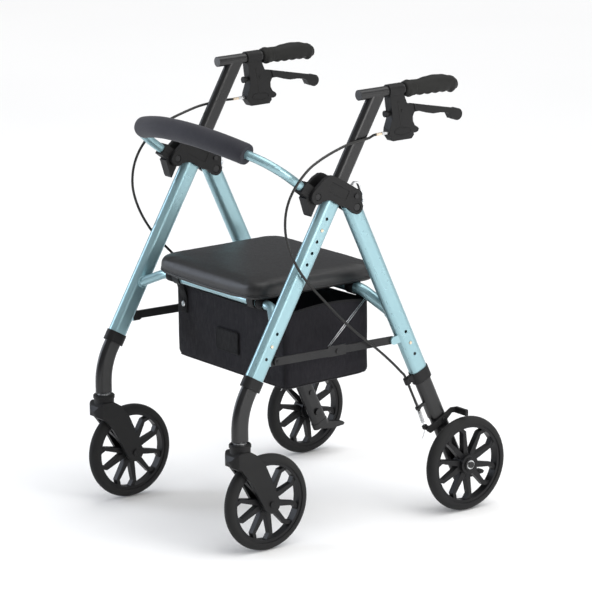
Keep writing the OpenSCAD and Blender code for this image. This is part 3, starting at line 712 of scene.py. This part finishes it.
def ribbon(name, line, x, width, thickness, slot, body):
    """A flat strap: a line in the YZ plane given a width across X, with bevelled edges."""
    rings = []
    edge = Vector((width / 2, 0, 0))
    shoulder = Vector((width / 2 - thickness * 0.4, 0, 0))
    for i, p in enumerate(line):
        along = (line[min(i + 1, len(line) - 1)] - line[max(i - 1, 0)]).normalized()
        out = along.cross(Vector((1, 0, 0))).normalized() * thickness / 2
        c = Vector((x, 0, 0)) + p
        rings.append([c - shoulder + out, c + shoulder + out, c + edge,
                      c + shoulder - out, c - shoulder - out, c - edge])
    return make(name, *loft(rings), slot, body)


STRAP_X = 0.160
STRAP_GAP = 0.0013


def straps():
    """Four webbing straps, each round a cross tube and down the bag's wall to a snap."""
    bag_low, bag_high = (Vector(corner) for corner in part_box("bag"))
    front = ("front", (-0.185, 0.491), 0.010, bag_low.y - 0.0018, 0.408)
    rear = ("rear", (0.048, 0.4922), 0.0125, bag_high.y + 0.0018, 0.420)
    for side, mark in SIDES:
        for place, run, tube_r, wall_y, foot_z in (front, rear):
            gap = tube_r + STRAP_GAP

            def on_tube(degrees):
                a = math.radians(degrees)
                return Vector((0, run[0] + gap * math.cos(a), run[1] + gap * math.sin(a)))

            down = smooth_path([on_tube(8), Vector((0, (run[0] + gap) * 0.45 + wall_y * 0.55, 0.462)),
                                Vector((0, wall_y, foot_z + 0.036)), Vector((0, wall_y, foot_z + 0.022)),
                                Vector((0, wall_y, foot_z))], 5)
            line = [on_tube(288 - 20 * k) for k in range(15)] + down[1:]
            body = "frame" if place == "front" else None
            strap = ribbon(f"bag_strap_{place}_{mark}", line, side * STRAP_X, 0.024, 0.0018, "webbing", body)
            if place == "rear":
                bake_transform(strap)
            elif side > 0:
                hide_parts("bag_straps")
            out = Vector((0, -1 if place == "front" else 1, 0))
            pressed_cap(f"bag_snap_{place}_{mark}",
                        Vector((side * STRAP_X, wall_y, foot_z + 0.019)) + 0.0012 * out, out, "frame")


def pressed_cap(name, centre, out, body):
    """A snap's cap or a rivet's head: a low dome with a dished middle, facing out."""
    profile = [(0.0062, 0.0), (0.0062, 0.0008), (0.0056, 0.0017), (0.0044, 0.0021),
               (0.0030, 0.0018), (0.0014, 0.0015), (0.0003, 0.0014)]
    across = out.cross(Vector((0, 0, 1)))
    up = across.cross(out)
    rings = [[centre + r * math.cos(a) * across + r * math.sin(a) * up + h * out
              for a in (2 * math.pi * k / 20 for k in range(20))] for r, h in profile]
    make(name, *loft(rings), "bright_steel", body)


# ---------------------------------------------------------------- grips
GRIP_TOP = [(0.113, 0.9265), (0.117, 0.9305), (0.125, 0.9325), (0.134, 0.931), (0.153, 0.9305),
            (0.172, 0.9335), (0.192, 0.935), (0.213, 0.9335), (0.237, 0.9285), (0.249, 0.922),
            (0.2555, 0.912)]
GRIP_BOTTOM = [(0.113, 0.902), (0.118, 0.899), (0.126, 0.8962), (0.137, 0.898), (0.161, 0.8965),
               (0.185, 0.896), (0.210, 0.8955), (0.226, 0.8955), (0.237, 0.8925), (0.250, 0.8985),
               (0.2555, 0.909)]
FINGERS = 5
FINGERS_START, FINGERS_END = 0.136, 0.236


def height_at(outline, y):
    """The height of an outline at y, eased from point to point."""
    for (a, za), (b, zb) in zip(outline, outline[1:]):
        if a <= y <= b:
            t = (y - a) / (b - a)
            t = t * t * (3 - 2 * t)
            return za + (zb - za) * t
    return outline[-1][1] if y > outline[-1][0] else outline[0][1]


def grips():
    for side, mark in SIDES:
        x = side * (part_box("grip_left")[0][0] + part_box("grip_left")[1][0]) / 2
        y0, y1 = GRIP_TOP[0][0] + 0.0006, GRIP_TOP[-1][0]
        rings = []
        steps, sides = 84, 36
        for i in range(steps + 1):
            y = y0 + (y1 - y0) * i / steps
            top, bottom = height_at(GRIP_TOP, y), height_at(GRIP_BOTTOM, y)
            centre, half = (top + bottom) / 2, (top - bottom) / 2
            width = half * (0.93 if y > 0.14 else 0.99)
            finger = 0.0
            if FINGERS_START < y < FINGERS_END:
                phase = (y - FINGERS_START) / (FINGERS_END - FINGERS_START)
                wave = math.cos(2 * math.pi * FINGERS * phase) - 1
                finger = 0.0011 * wave * math.sin(math.pi * phase) ** 0.3
            ring = []
            for k in range(sides):
                a = 2 * math.pi * k / sides
                cx, cz = math.cos(a), math.sin(a)
                dent = max(0.0, -cz) ** 1.5 * finger
                ring.append(Vector((x + (width + dent * 0.4) * cx, y, centre + (half + dent) * cz)))
            rings.append(ring)
        dome = [[Vector((x + (p.x - x) * s, y1 + d, 0.9108 + (p.z - 0.9108) * s)) for p in rings[-1]]
                for s, d in ((0.72, 0.0005), (0.4, 0.0007))]
        lip = [[Vector((x + (p.x - x) * 0.88, y0 + 0.0004, 0.915 + (p.z - 0.915) * 0.88)) for p in rings[0]]]
        piece = make(f"grip_{mark}_sleeve", *loft(lip + rings + dome), "rubber_grip", f"handle_{mark}")
        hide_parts(f"grip_{mark}")


# ---------------------------------------------------------------- brake cables and springs
CABLE_ROUTE = [
    (250, 40.2, 829), (251.5, 34, 828.8), (256, 25, 828), (261.4, 14, 827), (263, 0, 825.8),
    (263, -16, 824.3), (264, -42, 821), (266, -78, 812),
    (269, -115, 800), (271, -146, 785), (272, -173, 762), (272, -193, 736),
    (272, -205, 706), (272, -208, 672), (271, -202, 640), (270, -188, 606), (269, -168, 573),
    (268, -142, 541), (267, -112, 510), (266, -82, 479), (265, -50, 448), (263, -18, 420),
    (260, 18, 392), (257, 52, 364), (254, 82, 337), (251, 101, 319), (249, 111.5, 309.5),
    (249, 115.5, 302), (249, 121.5, 289.5), (249, 128.5, 274), (249, 135, 260), (249, 139.2, 250.7)]
CABLE_RADIUS = 2.75 * MM
CABLE_END_X = 0.249
HANDLE_END, FRAME_END, COLLAR_END = 11, 28, len(CABLE_ROUTE) - 1


def cables():
    """Each brake cable in three pieces, one for each stretch between two bodies."""
    for side, mark in SIDES:
        route = [Vector((side * x * MM, y * MM, z * MM)) for x, y, z in CABLE_ROUTE]
        path = smooth_path(route, 6)
        spans = (("upper", 0, HANDLE_END, f"handle_{mark}", "frame"),
                 ("middle", HANDLE_END, FRAME_END, "frame", "rear_frame"),
                 ("lower", FRAME_END, COLLAR_END, "rear_frame", f"rear_lower_{mark}"))
        for part, first, last, body_a, body_b in spans:
            line = path[first * 6:last * 6 + 1]
            piece = make(f"brake_cable_{part}_{mark}", *loft(sweep(line, CABLE_RADIUS, 12)), "cable")
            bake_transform(piece)
            if part == "upper":
                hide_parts(f"brake_cable_{mark}")


def helix(start, end, radius, turns, per_turn=14):
    """Points of a coil wound round the line from start to end."""
    along = end - start
    axis = along.normalized()
    side = axis.orthogonal().normalized()
    other = axis.cross(side)
    count = turns * per_turn
    return [start + along * i / count
            + radius * (math.cos(2 * math.pi * i / per_turn) * side
                        + math.sin(2 * math.pi * i / per_turn) * other) for i in range(count + 1)]


def brake_springs():
    """The brakes' return springs below the cables' ends, and the pull wires inside them."""
    for side, mark in SIDES:
        x = side * CABLE_END_X
        top, foot = Vector((x, 0.1500, 0.2262)), Vector((x, 0.1608, 0.1985))
        coil = helix(top, foot, 0.0032, 15)
        make(f"brake_spring_{mark}", *loft(sweep(coil, 0.0006, 6)), "bright_steel", f"rear_lower_{mark}")
        wire = smooth_path([top, foot, Vector((x, 0.1655, 0.187)), Vector((x, 0.163, 0.172)),
                            Vector((x, 0.1575, 0.1625))], 6)
        pull = make(f"brake_wire_{mark}", *loft(sweep(wire, 0.0007, 6)), "bright_steel")
        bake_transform(pull)


def knee_wires():
    """Two thin wires from each knee up to the rear cross tube."""
    for side, mark in SIDES:
        foot = Vector((side * 0.249, -0.086, 0.401))
        top = Vector((side * 0.204, 0.0455, 0.475))
        across = (top - foot).cross(Vector((1, 0, 0))).normalized() * 0.0016
        strands = [loft(sweep([foot + way * across, (foot + top) / 2 + way * across * 1.4,
                               top + way * across], 0.0006, 8)) for way in (-1, 1)]
        wire = make(f"knee_wire_{mark}", *joined(strands), "bright_steel", "rear_frame")
        if side > 0:
            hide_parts("knee_wires")
        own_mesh(wire)


# ---------------------------------------------------------------- details on the CAD nodes
def metal_details():
    """The parts of the moulded nodes that are metal: adjusters, washers, link ends, bearings."""
    for mark in ("left", "right"):
        housing = f"brake_housing_{mark}"
        repaint(housing, "bright_steel", lambda c: c.y < 0.0695 and c.z < 0.8345)
        repaint(housing, "brass", lambda c: c.y < 0.0550 and c.z < 0.8345)
        repaint(f"caster_fork_{mark}", "bright_steel", lambda c: c.z > 0.2361)
        repaint(f"front_leg_{mark}", "dark_steel", lambda c: -0.2300 < c.y < -0.2050 and c.z < 0.405)
        for end in ("front", "rear"):
            low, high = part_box(f"{end}_rim_{mark}")
            centre = (Vector(low) + Vector(high)) / 2
            repaint(f"{end}_rim_{mark}", "bright_steel",
                    lambda c, m=centre: math.hypot(c.y - m.y, c.z - m.z) < 0.00955
                    and abs(c.x - m.x) > 0.009)


def pivot_rivets():
    """The bright rivet heads of the brake arms' pivots, on the inner faces of the rear legs."""
    for side, mark in SIDES:
        pressed_cap(f"pivot_rivet_{mark}", Vector((side * 0.2340, 0.206, 0.199)),
                    Vector((-side, 0, 0)), f"rear_lower_{mark}")


def housing_marks():
    """A blank raised oval and a shallow seam on each face of the brake housings."""
    for side, mark in SIDES:
        for face, way in (("outer", 1), ("inner", -1)):
            x = side * (SIDE_FRAME_X + way * 0.0106)
            oval = [Vector((x, 0.105 + 0.0205 * math.cos(a) * (1 if abs(math.cos(a)) < 0.7 else 1.02),
                            0.829 + 0.0072 * math.copysign(abs(math.sin(a)) ** 0.7, math.sin(a))
                            - 0.04 * 0.0205 * math.cos(a)))
                    for a in (2 * math.pi * k / 48 for k in range(48))]
            make(f"housing_oval_{face}_{mark}", *hoop(oval, 0.0007, 8), "moulding", f"handle_{mark}")
            seam = [Vector((x, 0.0925, 0.893)), Vector((x, 0.0965, 0.866)), Vector((x, 0.1005, 0.840))]
            make(f"housing_seam_{face}_{mark}", *loft(sweep(smooth_path(seam, 4), 0.0005, 6)), "cable",
                 f"handle_{mark}")


def weld_beads():
    """The beads of weld where the cross tubes meet the legs."""
    x = SIDE_FRAME_X - 0.0125
    joints = (("front", (-0.212, 0.469), 0.0102, "frame"),
              ("rear", (0.088, 0.447), 0.0127, "rear_frame"))
    for place, (y, z), tube_r, body in joints:
        for side, mark in SIDES:
            ring = []
            for k in range(96):
                a = 2 * math.pi * k / 96
                bead = 1 + 0.1 * abs(math.sin(a * 9))
                ring.append(Vector((side * (x - 0.0012 * bead), y + tube_r * bead * math.cos(a),
                                    z + tube_r * bead * math.sin(a))))
            make(f"weld_{place}_{mark}", *hoop(ring, 0.0021, 10), "anodised", body)


# ---------------------------------------------------------------- floor and lights
def stage():
    floor = bpy.data.meshes.new("floor")
    reach = 16.0
    corners = [(-reach, -reach, 0), (reach, -reach, 0), (reach, reach, 0), (-reach, reach, 0)]
    floor.from_pydata(corners, [], [(0, 1, 2, 3)])
    s = Shader("floor_paper", rough=0.9)
    s.colour(s.tones(s.noise(0.6, 2), (0.3, (0.90, 0.90, 0.90)), (0.7, (0.93, 0.93, 0.93))))
    floor.materials.append(s.material)
    piece = bpy.data.objects.new("floor", floor)
    piece.location.z = -0.0005
    bpy.context.scene.collection.objects.link(piece)


def softbox(name, place, size, power, colour):
    """A rectangular lamp of a size in metres, aimed at the walker's middle."""
    data = bpy.data.lights.new(name, "AREA")
    data.shape = "RECTANGLE"
    data.size, data.size_y = size
    data.energy = power
    data.color = colour
    light = bpy.data.objects.new(name, data)
    light.location = place
    light.rotation_euler = (Vector((0, 0, 0.5)) - Vector(place)).to_track_quat("-Z", "Y").to_euler()
    bpy.context.scene.collection.objects.link(light)


def lights():
    """A pale world, lighter towards the top, with a soft overhead lamp and two softboxes."""
    world = bpy.data.worlds.new("studio")
    bpy.context.scene.world = world
    world.use_nodes = True
    tree = world.node_tree
    coords = tree.nodes.new("ShaderNodeTexCoord")
    axes = tree.nodes.new("ShaderNodeSeparateXYZ")
    ramp = tree.nodes.new("ShaderNodeValToRGB")
    ramp.color_ramp.elements[0].position = 0.0
    ramp.color_ramp.elements[0].color = (0.20, 0.21, 0.23, 1)
    ramp.color_ramp.elements[1].position = 0.9
    ramp.color_ramp.elements[1].color = (1.0, 1.0, 1.0, 1)
    tree.links.new(coords.outputs["Generated"], axes.inputs["Vector"])
    tree.links.new(axes.outputs["Z"], ramp.inputs["Fac"])
    tree.links.new(ramp.outputs["Color"], tree.nodes["Background"].inputs["Color"])
    tree.nodes["Background"].inputs["Strength"].default_value = 0.6
    overhead = bpy.data.lights.new("overhead", "SUN")
    overhead.energy = 1.9
    overhead.angle = math.radians(60)
    lamp = bpy.data.objects.new("overhead", overhead)
    lamp.rotation_euler = (math.radians(-12), math.radians(10), 0)
    bpy.context.scene.collection.objects.link(lamp)
    softbox("front_left", (-3.0, -2.4, 1.5), (1.4, 2.4), 55, (0.80, 0.87, 1.0))
    softbox("right", (3.4, 0.9, 1.6), (2.2, 2.4), 75, (1.0, 0.99, 0.97))
    view = bpy.context.scene.view_settings
    view.view_transform = "Standard"
    view.look = "None"
    view.exposure = 0.0


add_camera()
dress_frame()
metal_details()
pivot_rivets()
housing_marks()
weld_beads()
seat()
backrest()
bag()
straps()
grips()
cables()
brake_springs()
knee_wires()
stage()
lights()
